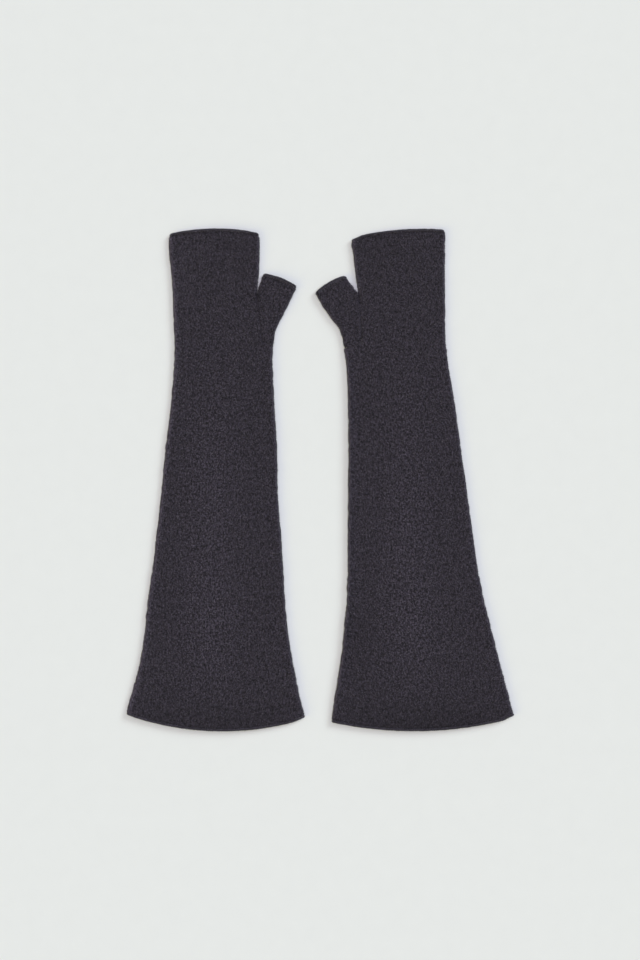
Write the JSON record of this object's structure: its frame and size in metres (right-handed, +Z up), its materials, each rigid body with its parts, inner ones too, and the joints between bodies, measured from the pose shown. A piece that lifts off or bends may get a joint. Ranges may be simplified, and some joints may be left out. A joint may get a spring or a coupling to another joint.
{
  "type": "pair of knitted arm warmers",
  "caption": "Long fingerless arm warmers in felted charcoal knit, each with a short thumb and a flared arm end, lying flat side by side.",
  "frame": {"origin": "centre of the pair's bounding box, on the surface that it lies on", "axes": "+Y towards the fingers, +Z up from the surface, +X from the left-hand warmer to the right-hand one"},
  "size_m": [0.3687, 0.4799, 0.005],
  "materials": {
    "knit": "matt felted fine-gauge wool knit, dark heather charcoal",
    "rim": "matt bound-off knit edge, dark heather charcoal"
  },
  "bodies": {
    "root": {"left_back_panel": "knit", "left_palm_panel": "knit", "left_thumb": "knit", "left_finger_rim": "rim", "left_thumb_rim": "rim", "left_arm_rim": "rim", "right_back_panel": "knit", "right_palm_panel": "knit", "right_thumb": "knit", "right_finger_rim": "rim", "right_thumb_rim": "rim", "right_arm_rim": "rim"}
  },
  "joints": []
}
